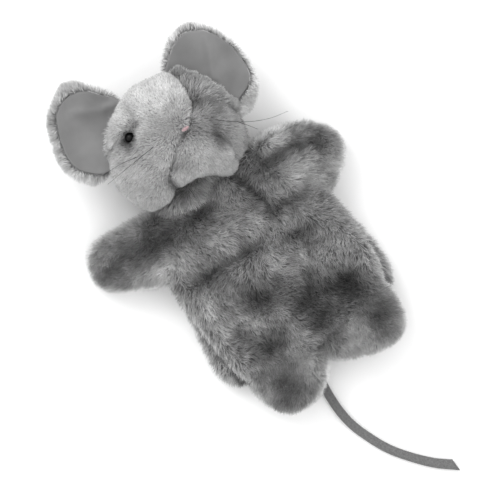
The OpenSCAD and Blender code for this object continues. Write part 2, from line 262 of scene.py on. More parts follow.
pile = acrylicPile()
backing = knittedBacking()
earSatin = wovenCloth("polyesterSatin", "#6A6A6A", "#868686", 0.45, 0.42, 0.3, 0.12, 0.06)
liningCloth = wovenCloth("plainCotton", "#8C8C8E", "#A2A2A4", 0.6, 0.9, 0.1)
bindingTape = wovenCloth("twillTape", "#4E4E50", "#646466", 0.7, 0.85, 0.1)
woolFelt = grainy("woolFelt", "#585858", "#7C7C7C", 1.1, 0.95, 0.3)
fibreFill = grainy("polyesterFill", "#D8D8D6", "#F2F2F0", 3.0, 0.95, 1.0)
greyBoard = grainy("greyBoard", "#A2917A", "#B7A68E", 1.5, 0.85, 0.1)
mouldedNylon = grainy("mouldedNylon", "#DAD8D0", "#E6E4DC", 0.8, 0.5, 0.05)
knitElastic = wovenCloth("knitElastic", "#C8C8C6", "#E4E4E2", 0.9, 0.8, 0.05)
blackAcrylicBead = grainy("blackAcrylicBead", "#060606", "#0A0A0A", 4.0, 0.32, 0.01)
pinkThread = wovenCloth("rayonFloss", "#9A7E82", "#C8ADB1", 0.9, 0.45, 0.3)
greyThread = wovenCloth("twistedCotton", "#2E2E2E", "#4A4A4A", 0.7, 0.8, 0.1)
nylonHair = grainy("nylonMonofilament", "#2C2C2C", "#3E3E3E", 5.0, 0.3, 0.01)


def dressCadNodes():
    finish = {"lining_cloth": liningCloth, "binding_tape": bindingTape, "felt": woolFelt,
              "fibre_fill": fibreFill, "card": greyBoard, "bead_black": blackAcrylicBead,
              "washer_plastic": mouldedNylon,
              "nose_thread": pinkThread, "mouth_thread": greyThread, "nylon": nylonHair, "elastic": knitElastic,
              "ear_satin": earSatin, "body_plush": backing, "face_plush": backing, "cheek_plush": backing}
    slotOf = {s["node"]: s["material_slot"] for s in frame["record"]["subparts"]}
    for node, obj in frame["nodes"].items():
        for k in range(max(1, len(obj.material_slots))):
            if not obj.material_slots:
                obj.data.materials.append(finish[slotOf[node]])
            else:
                obj.material_slots[k].material = finish[slotOf[node]]


def rounded(outline, times=2):
    loop = [Vector(p) for p in outline]
    for _ in range(times):
        loop = [q for a, b in zip(loop, loop[1:] + loop[:1]) for q in (a.lerp(b, 0.25), a.lerp(b, 0.75))]
    return loop


def remeshed(piece, voxel, smoothing):
    remesh = piece.modifiers.new("remesh", "REMESH")
    remesh.mode = "VOXEL"
    remesh.voxel_size = voxel * mm
    remesh.use_smooth_shade = True
    if smoothing:
        smooth = piece.modifiers.new("smooth", "SMOOTH")
        smooth.iterations = smoothing
        smooth.factor = 0.5
    return applyModifiers(piece)


# a stuffed form: ellipsoids, each [centre, radii, turn about Z], fused and relaxed
def stuffedForm(name, blobs, voxel=2.5, smoothing=4):
    form = bmesh.new()
    for centre, radii, turn in blobs:
        place = (Matrix.Translation(Vector(centre) * mm) @ Matrix.Rotation(math.radians(turn), 4, "Z")
                 @ Matrix.Diagonal((Vector(radii) * mm).to_4d()))
        bmesh.ops.create_uvsphere(form, u_segments=40, v_segments=24, radius=1, matrix=place)
    return remeshed(putPiece(name, form), voxel, smoothing)


# a flat padded form: its cut outline pushed up to a thickness, then relaxed until its edge is round
def paddedForm(name, outline, z0, z1, voxel=2.5, smoothing=14):
    form = bmesh.new()
    ring = [form.verts.new((p.x * mm, p.y * mm, z0 * mm)) for p in rounded(outline)]
    face = form.faces.new(ring)
    up = bmesh.ops.extrude_face_region(form, geom=[face])
    bmesh.ops.translate(form, verts=[v for v in up["geom"] if isinstance(v, bmesh.types.BMVert)],
                        vec=(0, 0, (z1 - z0) * mm))
    bmesh.ops.recalc_face_normals(form, faces=form.faces)
    return remeshed(putPiece(name, form), voxel, smoothing)


def lineDistance(p, path):
    best = np.full(len(p), 1e9)
    for a, b in zip(path, path[1:]):
        a, b = np.array(a, float), np.array(b, float)
        t = np.clip(((p - a) @ (b - a)) / max((b - a) @ (b - a), 1e-9), 0, 1)
        best = np.minimum(best, np.linalg.norm(p - (a + t[:, None] * (b - a)), axis=1))
    return best


# presses creases into a form from above, each [path in mm, half width, depth]
def pressCreases(piece, creases, above=15):
    co = points(piece)
    flat = co[:, :2] / mm
    top = np.clip((co[:, 2] / mm - above) / 10, 0, 1)
    for path, width, depth in creases:
        d = lineDistance(flat, path)
        co[:, 2] -= depth * mm * np.exp(-(d / width) ** 2) * top
    setPoints(piece, co)


# smooth noise at each point, its bumps about size mm across
def wave(co, size, seed):
    out = np.empty(len(co))
    for k, p in enumerate(co):
        x, y, z = (c / (size * mm) for c in p)
        out[k] = noise.noise(Vector((x + seed * 7.3, y, z)))
    return out


def ripple(piece, size, height, seed):
    co = points(piece)
    setPoints(piece, co + normalsOf(piece) * (wave(co, size, seed) * height * mm)[:, None])


def makeBlade():
    form = bmesh.new()
    bmesh.ops.create_grid(form, x_segments=1, y_segments=2, size=0.5)
    bmesh.ops.translate(form, verts=form.verts, vec=(0, 0.5, 0))
    bmesh.ops.rotate(form, verts=form.verts, matrix=Matrix.Rotation(math.radians(90), 3, "X"))
    tip = [v for v in form.verts if v.co.z > 0.9]
    bmesh.ops.pointmerge(form, verts=tip, merge_co=(0, -0.1, 1))
    blade = putPiece("pileBlade", form)
    along = blade.data.attributes.new("along", "FLOAT", "POINT")
    along.data.foreach_set("value", [v.co.z for v in blade.data.vertices])
    blade.hide_render = True
    return blade


def pileNodes(blade):
    tree = bpy.data.node_groups.new("growPile", "GeometryNodeTree")
    face = tree.interface
    face.new_socket("Geometry", in_out="INPUT", socket_type="NodeSocketGeometry")
    face.new_socket("Geometry", in_out="OUTPUT", socket_type="NodeSocketGeometry")
    for name, kind in (("Density", "NodeSocketFloat"), ("Seed", "NodeSocketInt"), ("Length", "NodeSocketFloat"),
                       ("Width", "NodeSocketFloat"), ("Lean", "NodeSocketFloat"), ("Ruffle", "NodeSocketFloat"),
                       ("Tuft", "NodeSocketFloat"), ("Tuft size", "NodeSocketFloat"),
                       ("Mottle", "NodeSocketFloat")):
        face.new_socket(name, in_out="INPUT", socket_type=kind)
    inp = addNode(tree, "NodeGroupInput")
    seed = inp.outputs["Seed"]

    def named(name, kind):
        node = addNode(tree, "GeometryNodeInputNamedAttribute", {"data_type": kind}, {"Name": name})
        return [o for o in node.outputs if o.enabled and o.name == "Attribute"][0]

    def vectorMath(kind, **inputs):
        node = addNode(tree, "ShaderNodeVectorMath", {"operation": kind})
        for key, value in inputs.items():
            socket = node.inputs["Scale"] if key == "scale" else node.inputs["ab".index(key)]
            if isinstance(value, bpy.types.NodeSocket):
                tree.links.new(value, socket)
            else:
                socket.default_value = value
        return node.outputs["Vector"]

    def randomValue(low, high, shift):
        node = addNode(tree, "FunctionNodeRandomValue", {"data_type": "FLOAT"})
        plus = addNode(tree, "ShaderNodeMath", {"operation": "ADD"}, {0: seed, 1: shift})
        for socket in node.inputs:
            if not socket.enabled:
                continue
            if socket.name == "Min":
                socket.default_value = low
            if socket.name == "Max":
                socket.default_value = high
            if socket.name == "Seed":
                tree.links.new(plus.outputs[0], socket)
        return [o for o in node.outputs if o.enabled][0]

    thick = addNode(tree, "ShaderNodeMath", {"operation": "MULTIPLY"},
                    {0: inp.outputs["Density"], 1: named("cover", "FLOAT")})
    spread = addNode(tree, "GeometryNodeDistributePointsOnFaces", {"distribute_method": "RANDOM"},
                     {"Mesh": inp.outputs["Geometry"], "Seed": seed})
    tree.links.new(thick.outputs[0], spread.inputs["Density"])
    normal = spread.outputs["Normal"]
    jitter = addNode(tree, "ShaderNodeCombineXYZ")
    for k in range(3):
        tree.links.new(randomValue(-1, 1, 11 + k), jitter.inputs[k])
    leaning = vectorMath("SCALE", a=named("comb", "FLOAT_VECTOR"), scale=inp.outputs["Lean"])
    ruffled = vectorMath("SCALE", a=jitter.outputs[0], scale=inp.outputs["Ruffle"])
    place = addNode(tree, "GeometryNodeInputPosition")
    over = addNode(tree, "ShaderNodeMath", {"operation": "DIVIDE"}, {0: 1.0, 1: inp.outputs["Tuft size"]})
    clump = addNode(tree, "ShaderNodeTexNoise", None,
                    {"Vector": place.outputs[0], "Scale": over.outputs[0], "Detail": 2.0})
    centred = vectorMath("SUBTRACT", a=clump.outputs["Color"], b=(0.5, 0.5, 0.5))
    tufted = vectorMath("SCALE", a=centred, scale=inp.outputs["Tuft"])
    way = vectorMath("ADD", a=vectorMath("ADD", a=normal, b=leaning),
                     b=vectorMath("ADD", a=ruffled, b=tufted))
    stand = addNode(tree, "FunctionNodeAlignRotationToVector", {"axis": "Z"}, {"Vector": way})
    flat = addNode(tree, "FunctionNodeAlignRotationToVector", {"axis": "Y", "pivot_axis": "Z"},
                   {"Rotation": stand.outputs[0], "Vector": normal})
    twist = addNode(tree, "FunctionNodeAxisAngleToRotation", None, {"Axis": (0, 0, 1)})
    tree.links.new(randomValue(-0.9, 0.9, 23), twist.inputs["Angle"])
    turned = addNode(tree, "FunctionNodeRotateRotation", {"rotation_space": "LOCAL"},
                     {"Rotation": flat.outputs[0], "Rotate By": twist.outputs[0]})
    long = addNode(tree, "ShaderNodeMath", {"operation": "MULTIPLY"},
                   {0: inp.outputs["Length"], 1: named("reach", "FLOAT")})
    longer = addNode(tree, "ShaderNodeMath", {"operation": "MULTIPLY"},
                     {0: long.outputs[0], 1: randomValue(0.6, 1.15, 31)})
    size = addNode(tree, "ShaderNodeCombineXYZ", None,
                   {"X": inp.outputs["Width"], "Y": longer.outputs[0], "Z": longer.outputs[0]})
    info = addNode(tree, "GeometryNodeObjectInfo", None, {"Object": blade})
    plant = addNode(tree, "GeometryNodeInstanceOnPoints", None,
                    {"Points": spread.outputs["Points"], "Instance": info.outputs["Geometry"],
                     "Rotation": turned.outputs[0], "Scale": size.outputs[0]})
    shift = addNode(tree, "ShaderNodeMath", {"operation": "ADD", "use_clamp": True},
                    {0: named("tone", "FLOAT"), 1: randomValue(-0.07, 0.07, 41)})
    spare = addNode(tree, "ShaderNodeMath", {"operation": "SUBTRACT"}, {0: clump.outputs["Fac"], 1: 0.5})
    patchy = addNode(tree, "ShaderNodeMath", {"operation": "MULTIPLY"},
                     {0: spare.outputs[0], 1: inp.outputs["Mottle"]})
    shaded = addNode(tree, "ShaderNodeMath", {"operation": "ADD", "use_clamp": True},
                     {0: shift.outputs[0], 1: patchy.outputs[0]})
    keep = addNode(tree, "GeometryNodeStoreNamedAttribute", {"data_type": "FLOAT", "domain": "INSTANCE"},
                   {"Geometry": plant.outputs[0], "Name": "shade", "Value": shaded.outputs[0]})
    real = addNode(tree, "GeometryNodeRealizeInstances", None, {"Geometry": keep.outputs[0]})
    uv = addNode(tree, "ShaderNodeCombineXYZ", None,
                 {"X": named("shade", "FLOAT"), "Y": named("along", "FLOAT")})
    store = addNode(tree, "GeometryNodeStoreNamedAttribute", {"data_type": "FLOAT2", "domain": "CORNER"},
                    {"Geometry": real.outputs[0], "Name": "OFBake", "Value": uv.outputs[0]})
    out = addNode(tree, "NodeGroupOutput")
    tree.links.new(store.outputs[0], out.inputs[0])
    return tree


growTree = pileNodes(makeBlade())


def setAttribute(piece, name, values, kind="FLOAT"):
    data = piece.data.attributes.get(name) or piece.data.attributes.new(name, kind, "POINT")
    field = "vector" if kind == "FLOAT_VECTOR" else "value"
    data.data.foreach_set(field, np.asarray(values, np.float32).ravel())


def dropAttributes(piece, names):
    for name in names:
        if name in piece.data.attributes:
            piece.data.attributes.remove(piece.data.attributes[name])


# fibres that would pass through the table lie this far above it, in mm
tableGap = 0.4


# the pile of one panel: count is the number of fibres, cover 0 where no fibre grows, reach a share of length
def growPile(skin, coat, tone, comb, cover, reach=None, seed=1):
    # painted light on sideways-facing pile where the coat's rim is above 0, painted shade there where it is
    # below 0
    tone = tone + coat["rim"] * (1 - np.abs(normalsOf(skin)[:, 2])) ** 2
    setAttribute(skin, "tone", np.clip(tone, 0, 1))
    setAttribute(skin, "comb", comb, "FLOAT_VECTOR")
    setAttribute(skin, "cover", cover)
    setAttribute(skin, "reach", np.ones(len(tone)) if reach is None else reach)
    skin.data.materials.clear()
    skin.data.materials.append(backing)
    hair = bpy.data.objects.new(skin.name.replace("Skin", "Pile"), skin.data.copy())
    bpy.context.scene.collection.objects.link(hair)
    area = coverArea(skin, cover)
    count = coat["count"]
    width = coat["width"]
    grow = hair.modifiers.new("pile", "NODES")
    grow.node_group = growTree
    values = {"Density": count / area, "Seed": seed, "Length": coat["length"] * mm,
              "Width": width * mm, "Lean": coat["lean"], "Ruffle": coat["ruffle"], "Tuft": coat["tuft"],
              "Tuft size": coat["tuftSize"] * mm, "Mottle": coat["mottle"]}
    for item in growTree.interface.items_tree:
        if item.in_out == "INPUT" and item.name in values:
            grow[item.identifier] = values[item.name]
    applyModifiers(hair)
    dropAttributes(hair, ("comb", "cover", "reach", "along", "shade"))
    co = points(hair)
    co[:, 2] = np.maximum(co[:, 2], tableGap * mm)
    setPoints(hair, co)
    hair.data.materials.clear()
    hair.data.materials.append(pile)
    hair.data.shade_smooth()
    return hair


def coverArea(skin, cover):
    area = 0.0
    for face in skin.data.polygons:
        area += face.area * float(np.mean([cover[v] for v in face.vertices]))
    return max(area, 1e-6)


# painted light and shade: patches of paler or darker pile, each [x, y, half width, half height, change]
def toneAt(co, base, lightShadeSpots, seed, rough=0.08, size=14):
    tone = np.full(len(co), float(base))
    x, y = co[:, 0] / mm, co[:, 1] / mm
    for sx, sy, rx, ry, change in lightShadeSpots:
        tone += change * np.exp(-((x - sx) / rx) ** 2 - ((y - sy) / ry) ** 2)
    return tone + rough * 1.6 * wave(co, size, seed) + rough * wave(co, size * 0.4, seed + 3)


def combAlong(piece, way, swirl, size, seed):
    co, n = points(piece), normalsOf(piece)
    base = np.array(way, float) if np.ndim(way) > 1 else np.tile(np.array(way, float), (len(co), 1))
    turn = swirl * 2.2 * wave(co, size, seed)
    c, s = np.cos(turn), np.sin(turn)
    base = np.stack([base[:, 0] * c - base[:, 1] * s, base[:, 0] * s + base[:, 1] * c, base[:, 2]], 1)
    base -= n * np.sum(base * n, axis=1)[:, None]
    return base / np.maximum(np.linalg.norm(base, axis=1), 0.3)[:, None]


body = {
    "front": [(-24, 74), (-44, 80), (-58, 76), (-60, 50), (-59, 20), (-60, -10), (-60, -40), (-55, -62),
              (55, -64), (64, -44), (66, -20), (66, 10), (64, 30), (60, 60), (50, 78), (30, 78)],
    "back": [(-24, 70), (-50, 76), (-58, 50), (-60, 20), (-64, -6), (-69, -25), (-70, -42), (-64, -52),
             (-54, -54), (54, -56), (66, -58), (72, -44), (72, -22), (68, 0), (64, 30), (56, 70), (24, 72)],
    "frontZ": (4, 39), "backZ": (2.5, 15), "restsAt": 3.0,
    "frontWall": 1.6, "backWall": 1.2, "frontFill": 0.3, "backFill": 0.2, "backTone": 0.70, "backCount": 32000,
    "creases": [([(20, 76), (23, 66), (26, 50), (28, 38)], 4, 8), ([(45, 70), (58, 63), (80, 56)], 6, 5),
                ([(-48, 28), (-34, 24), (-14, 22), (2, 22)], 6, 5), ([(-24, -4), (-15, -12), (-8, -10)], 9, 4),
                ([(2, -30), (20, -30), (44, -35)], 9, 4), ([(34, 14), (42, 4)], 6, 4),
                ([(-46, -20), (-40, -34), (-26, -44)], 7, 4), ([(6, -52), (30, -48), (44, -50)], 8, 3),
                ([(-50, 66), (-20, 66), (-8, 66)], 9, 6), ([(-2, -90), (0, -66)], 7, 6)],
    # painted shadow under the head, painted shade in the creases and where the pile stands on end, painted
    # light where it leans over
    "lightShadeSpots": [(-46, 65, 15, 10, -0.36), (-16, 65, 14, 8, -0.34), (-34, 24, 13, 6, -0.34),
              (-12, 23, 12, 5, -0.20), (2, 21, 8, 6, -0.24), (-15, -11, 13, 12, -0.38),
              (11, -29, 15, 12, -0.42), (40, -35, 16, 11, -0.40),
              (8, -50, 12, 9, -0.34), (38, -48, 14, 8, -0.32), (45, -70, 11, 11, -0.32), (36, 11, 11, 6, -0.36),
              (44, 33, 12, 5, -0.24), (25, 53, 6, 18, -0.42), (-45, -23, 7, 8, -0.26), (-30, -43, 13, 9, -0.32),
              (-33, -72, 10, 11, -0.28), (22, -14, 7, 7, -0.16), (53, 63, 16, 5, -0.30), (84, 57, 10, 9, -0.24),
              (-20, 44, 20, 6, 0.05), (9, 60, 9, 8, 0.12), (53, 46, 16, 6, 0.16), (-50, 46, 10, 7, 0.18),
              (-52, -2, 8, 16, 0.16), (7, 0, 4, 18, 0.14), (-9, -28, 4, 16, 0.16), (-28, -22, 12, 5, 0.16),
              (-14, -54, 8, 6, 0.18), (52, -13, 12, 6, 0.14), (62, -38, 6, 12, 0.14), (23, -79, 10, 8, 0.16),
              (11, 37, 14, 10, 0.08), (-12, -74, 7, 12, 0.10), (-56, -30, 6, 14, 0.08)],
    "tone": 0.59, "coat": {"count": 65500, "length": 7.2, "width": 0.44, "lean": 0.8, "ruffle": 0.35,
                            "tuft": 2.0, "tuftSize": 4.5, "rim": 0.18, "mottle": 0.45}}
# each lining's wall, how far it stands off its plush (inwards below 0), and an arm pocket's share of its arm
linings = {"wall": 0.8, "frontOff": -3.5, "backOff": 0.5, "pocketShare": 0.74, "cutEase": 0.95}


def bodyTone(co, seed, base=None):
    return toneAt(co, body["tone"] if base is None else base, body["lightShadeSpots"], seed)


def makeBody():
    z0, z1 = body["frontZ"]
    front = paddedForm("torsoFrontSkin", body["front"], z0, z1, 2.5, 26)
    pressCreases(front, body["creases"])
    ripple(front, 26, 3.0, 5)
    openForm(front, lambda c: c.z > 9 * mm and c.y > -61 * mm)
    co = points(front)
    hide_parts("torso_front")
    shown = np.clip((co[:, 2] / mm - 6) / 4, 0.1, 1)
    # painted shade low on the front panel's wall, darker towards the table
    edgeShade = 0.7 * np.clip((22 - co[:, 2] / mm) / 12, 0, 1)
    frontPile = growPile(front, body["coat"], bodyTone(co, 2) - edgeShade,
                         combAlong(front, (0, -1, 0), 0.9, 30, 4), shown, seed=1)
    liningFront = copyShell(front, "pocketLining", linings["frontOff"], liningCloth)
    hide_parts("lining_front")
    thicken(front, body["frontWall"])
    z0, z1 = body["backZ"]
    back = paddedForm("torsoBackSkin", body["back"], z0, z1, 2.5, 10)
    flattenUnder(back, body["restsAt"])
    openForm(back, lambda c: not (c.z > 11 * mm and abs(c.x) < 50 * mm and c.y < 50 * mm))
    co = points(back)
    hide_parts("torso_back")
    edge = np.clip((np.abs(co[:, 0] / mm - 1) - 46) / 10, 0.0, 1)
    # painted shade in a narrow band on the back panel under the front panel's overhanging edge
    edgeShade = 0.4 * np.exp(-((np.abs(co[:, 0] / mm - 2) - 61) / 3) ** 2)
    under = np.clip((6 - co[:, 2] / mm) / 3, 0, 1) * 0.55
    backPile = growPile(back, {**body["coat"], "count": body["backCount"]},
                        bodyTone(co, 6, body["backTone"]) - edgeShade,
                        combAlong(back, (0, -1, 0), 0.7, 30, 8), np.maximum(edge, under), seed=2)
    thicken(back, body["backWall"])
    lining = copyShell(back, "backLining", linings["backOff"], liningCloth,
                       lambda c: c.z > 7 * mm and abs(c.x) < 58 * mm)
    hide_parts("lining_back")
    for piece in (front, frontPile, back, backPile, liningFront, lining):
        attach(piece, "torso")


# keeps only the faces whose centre passes, so that a form becomes an open shell
def openForm(piece, keep):
    form = bmesh.new()
    form.from_mesh(piece.data)
    gone = [f for f in form.faces if not keep(f.calc_center_median())]
    bmesh.ops.delete(form, geom=gone, context="FACES")
    form.to_mesh(piece.data)
    form.free()
    piece.data.update()


def flattenUnder(piece, z):
    co = points(piece)
    low = co[:, 2] < 8 * mm
    co[low, 2] = z * mm + (co[low, 2] - z * mm) * 0.25
    co[:, 2] = np.maximum(co[:, 2], z * mm)
    setPoints(piece, co)


def thicken(piece, thickness):
    wall = piece.modifiers.new("wall", "SOLIDIFY")
    wall.thickness = thickness * mm
    wall.offset = -1
    applyModifiers(piece)


def copyShell(piece, name, offset, material, keep=None):
    shell = bpy.data.objects.new(name, piece.data.copy())
    bpy.context.scene.collection.objects.link(shell)
    dropAttributes(shell, ("comb", "cover", "reach", "tone"))
    setPoints(shell, points(shell) + normalsOf(shell) * offset * mm)
    shell.data.materials.clear()
    shell.data.materials.append(material)
    if keep:
        openForm(shell, keep)
    thicken(shell, linings["wall"])
    return shell


arms = {
    "right": {"outline": [(-40, 80), (-62, 84), (-84, 87), (-96, 82), (-102, 68), (-96, 56), (-84, 49),
                          (-66, 38), (-44, 34)],
              "z": (2, 29), "shoulder": 84, "comb": (-1, 0.1, 0), "tone": 0.60,
              # painted shade and painted light on the arm's pile
              "lightShadeSpots": [(-46, 65, 15, 12, -0.36), (-62, 64, 12, 12, -0.22), (-84, 67, 12, 10, -0.26),
                        (-56, 44, 12, 6, 0.18), (-76, 50, 10, 4, 0.08)]},
    "left": {"outline": [(38, 74), (50, 79), (66, 77), (82, 69), (92, 60), (95, 50), (91, 39), (82, 29),
                         (70, 24), (56, 24), (44, 34)],
             "z": (2, 31), "shoulder": 80, "comb": (1, -0.4, 0), "tone": 0.59,
             "lightShadeSpots": [(53, 63, 16, 5, -0.34), (72, 58, 12, 6, -0.18), (84, 57, 8, 9, -0.20),
                       (60, 74, 12, 5, 0.14), (56, 46, 16, 6, 0.16), (44, 33, 12, 5, -0.24),
                       (78, 36, 10, 6, 0.08)]}}
feet = {
    "right": {"outline": [(-3, -56), (-4, -74), (-16, -86), (-30, -93), (-42, -90), (-52, -78),
                          (-55, -62), (-54, -52)],
              "z": (8, 37), "comb": (-0.15, -1, 0)},
    "left": {"outline": [(1, -56), (2, -75), (16, -83), (34, -91), (50, -90), (58, -80), (60, -64), (60, -52)],
             "z": (8, 37), "comb": (0.15, -1, 0)}}
limbCoat = {"count": 50000, "length": 7.2, "width": 0.44, "lean": 0.8, "ruffle": 0.35, "tuft": 2.0,
            "tuftSize": 4.5, "rim": 0.32, "mottle": 0.4}
# the arm's plush rises towards its shoulder line: over this many mm inside it, by up to this share of its
# height
shoulderRise = {"over": 26, "share": 0.36}


def blendArm(piece):
    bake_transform(piece)


def makeArm(side, seed):
    arm = arms[side]
    skin = paddedForm(side + "ArmSkin", arm["outline"], *arm["z"], 2.5, 22)
    co = points(skin)
    lift = np.clip((arm["shoulder"] - np.abs(co[:, 0] / mm)) / shoulderRise["over"], 0, 1) ** 1.5
    co[:, 2] *= 1 + shoulderRise["share"] * lift
    setPoints(skin, co)
    pressCreases(skin, body["creases"])
    ripple(skin, 22, 2.5, seed)
    co = points(skin)
    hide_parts(side + "_arm_front", side + "_arm_back")
    tone = toneAt(co, arm["tone"], arm["lightShadeSpots"], seed)
    cover = np.clip((co[:, 2] / mm + 1) / 6, 0.25, 1)
    hair = growPile(skin, limbCoat, tone, combAlong(skin, arm["comb"], 0.6, 26, seed), cover, seed=seed)
    blendArm(skin)
    blendArm(hair)


def makeArmLining(side, seed):
    arm = arms[side]
    centre = Vector([sum(p[k] for p in arm["outline"]) / len(arm["outline"]) for k in (0, 1)])
    inner = [tuple(centre + (Vector(p) - centre) * linings["pocketShare"]) for p in arm["outline"]]
    pocket = paddedForm(side + "ArmLining", inner, arm["z"][0] + 5, arm["z"][1] - 6, 2.0, 10)
    ripple(pocket, 12, 1.2, seed)
    openForm(pocket, lambda c: abs(c.x) > 48 * mm)
    thicken(pocket, linings["wall"])
    pocket.data.materials.clear()
    pocket.data.materials.append(liningCloth)
    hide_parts(side + "_arm_lining")
    blendArm(pocket)


def makeFoot(side, seed):
    foot = feet[side]
    skin = paddedForm(side + "FootSkin", foot["outline"], *foot["z"], 2.5, 22)
    pressCreases(skin, body["creases"], 24)
    ripple(skin, 22, 2.0, seed)
    co = points(skin)
    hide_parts(side + "_foot_top", side + "_foot_sole", side + "_foot_stuffing")
    cover = np.clip((co[:, 2] / mm - 2) / 10, 0.55, 1)
    hair = growPile(skin, limbCoat, bodyTone(co, seed), combAlong(skin, foot["comb"], 0.6, 26, seed), cover,
                    seed=seed)
    for piece in (skin, hair):
        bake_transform(piece)


# the face's pile is combed away from here
noseBridge = (12, 122, 84)
# the stuffed ball's shape as seen from above, with the height its skin stands at and where the panels begin
dome = {"centre": (-2, 119), "half": (54, 47), "turn": -10, "z": 40, "high": 41, "low": 24.0, "depth": 16}
headCoat = {"width": 0.36, "lean": 0.9, "ruffle": 0.3, "tuft": 1.2, "tuftSize": 4.5}
# the face panels' negative rim paints shade towards their sides; the other panels' rim paints light on their
# silhouettes
faceShade = {"rim": -0.16, "mottle": 0.14}
plainShade = {"rim": 0.3, "mottle": 0.4}
head = {
    "neckSkin": {"blobs": [[(-16, 80, 27), (22, 11, 17), 0], [(-2, 84, 24), (26, 14, 18), 0]],
                 "node": ("neck_collar",), "fill": 0.3, "tone": 0.62, "count": 12000, "length": 7.5},
    "headBackSkin": {"blobs": [[(-4, 122, 37), (43, 35, 33), 0], [(8, 138, 46), (22, 18, 20), 0],
                               [(30, 126, 42), (17, 26, 26), 16]],
                     "node": ("head_back", "head_stuffing"), "fill": 0.8, "tone": 0.60, "count": 26000,
                     "length": 6.5},
    "foreheadSkin": {"outline": [(-14, 159), (-4, 161), (18, 159), (26, 153), (28, 146), (27, 131), (21, 124),
                                 (12, 114), (2, 116), (-12, 130), (-26, 138), (-42, 134), (-32, 147)],
                     "rise": 1.0, "node": ("forehead_panel",), "fill": 0.8, "tone": 0.79, "count": 56000,
                     "length": 3.6},
    "rightCheekSkin": {"outline": [(-10, 146), (-28, 147), (-42, 131), (-49, 118), (-49, 105), (-46, 95),
                                   (-42, 86), (-34, 84), (-26, 83), (-21, 88), (-16, 94), (-8, 99),
                                   (0, 105), (12, 112), (10, 126), (-4, 136)],
                       "rise": 0.0, "node": ("right_cheek",), "fill": 0.8, "tone": 0.78, "count": 56000,
                       "length": 3.9},
    "muzzleSkin": {"outline": [(-17, 91), (-14, 87), (0, 86), (8, 82), (17, 75), (25, 74), (29, 82), (28, 90),
                               (25, 98), (19, 106), (14, 116), (8, 114), (1, 107), (-8, 100)],
                   "rise": 7.0, "node": ("muzzle",), "fill": 0.8, "tone": 0.75, "count": 46000, "length": 3.9},
    # the left cheek's lower tone paints the shade on the side of the head turned away from the light
    "leftCheekSkin": {"outline": [(26, 79), (38, 81), (44, 88), (46, 97), (44, 108), (41, 119), (32, 128),
                                  (22, 126), (14, 118), (17, 106), (24, 98)],
                      "rise": 1.0, "node": ("left_cheek",), "fill": 0.8, "tone": 0.66, "count": 32000,
                      "length": 5.0}}


def domeHeight(flat):
    turn = math.radians(dome["turn"])
    x, y = flat[:, 0] - dome["centre"][0], flat[:, 1] - dome["centre"][1]
    u = (x * math.cos(turn) + y * math.sin(turn)) / dome["half"][0]
    v = (-x * math.sin(turn) + y * math.cos(turn)) / dome["half"][1]
    return dome["z"] + dome["high"] * np.sqrt(np.clip(1 - (u * u + v * v) * 0.96, 0.0, 1))


# a panel cut to its outline and stretched over the stuffed ball
def domedForm(name, outline, rise):
    skin = paddedForm(name, outline, 0, dome["depth"], 2.0, 7)
    co = points(skin)
    top = domeHeight(co[:, :2] / mm) + rise
    share = np.clip(co[:, 2] / (dome["depth"] * mm), 0, 1)
    co[:, 2] = (dome["low"] + (top - dome["low"]) * share) * mm
    setPoints(skin, co)
    return skin


faceCreases = [([(-25, 134), (-22, 136)], 4.5, 9), ([(-22, 136), (-13, 138)], 2.5, 2.5),
               ([(-13, 138), (-12, 148)], 2.2, 1.5), ([(23, 125), (33, 128)], 4, 5),
               ([(26, 103), (27, 94)], 4, 5), ([(4, 107), (-4, 102), (-16, 92)], 3, 4)]
# painted shade in the eye's pit and the creases round the muzzle, painted light on the top of the forehead
faceLightShadeSpots = [(6, 150, 24, 17, 0.12), (-23, 135, 4.5, 4, -0.75), (-27, 130, 4, 5, -0.3),
             (-14, 138, 6, 1.8, -0.22), (-12, 146, 2, 6, -0.12),
             (29, 126, 5, 3, -0.35), (25, 98, 4, 7, -0.3), (-18, 91, 3, 5, -0.3), (-8, 98, 6, 2.5, -0.14),
             (38, 122, 4, 12, -0.22), (12, 111, 8, 6, -0.09), (-25, 95, 14, 8, -0.06), (2, 126, 18, 7, -0.07),
             (-34, 128, 8, 12, -0.03), (28, 108, 4, 10, -0.12), (-5, 100, 6, 6, -0.05)]


def makeHead():
    nose = np.array(noseBridge) * mm
    for k, (name, part) in enumerate(head.items()):
        face = "outline" in part
        if face:
            skin = domedForm(name, part["outline"], part["rise"])
            pressCreases(skin, faceCreases if name != "muzzleSkin" else [], 40)
        else:
            skin = stuffedForm(name, part["blobs"], 2.0, 6)
        ripple(skin, 18, 2.2, 20 + k)
        ripple(skin, 8, 1.0, 27 + k)
        co = points(skin)
        way = co - nose
        way /= np.linalg.norm(way, axis=1)[:, None]
        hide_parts(*part["node"])
        cover = np.clip((co[:, 2] / mm - 2) / 12, 0.25, 1)
        coat = {**headCoat, **(faceShade if face else plainShade), "count": part["count"],
                "length": part["length"]}
        tone = toneAt(co, part["tone"], faceLightShadeSpots if face else [], 30 + k, 0.04, 10)
        bead = np.array(eyeBeads["right"]["at"][:2])
        near = np.linalg.norm(co[:, :2] / mm - bead, axis=1)
        # no pile over the bead, and shorter pile round it
        cover = cover * np.clip((near - 2.0) / 1.5, 0, 1) if face else cover
        reach = np.clip(near / 9, 0.45, 1)
        hair = growPile(skin, coat, tone, combAlong(skin, way, 0.4, 18, 40 + k), cover, reach, seed=50 + k)
        for piece in (skin, hair):
            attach(piece, "neck" if name == "neckSkin" else "head")


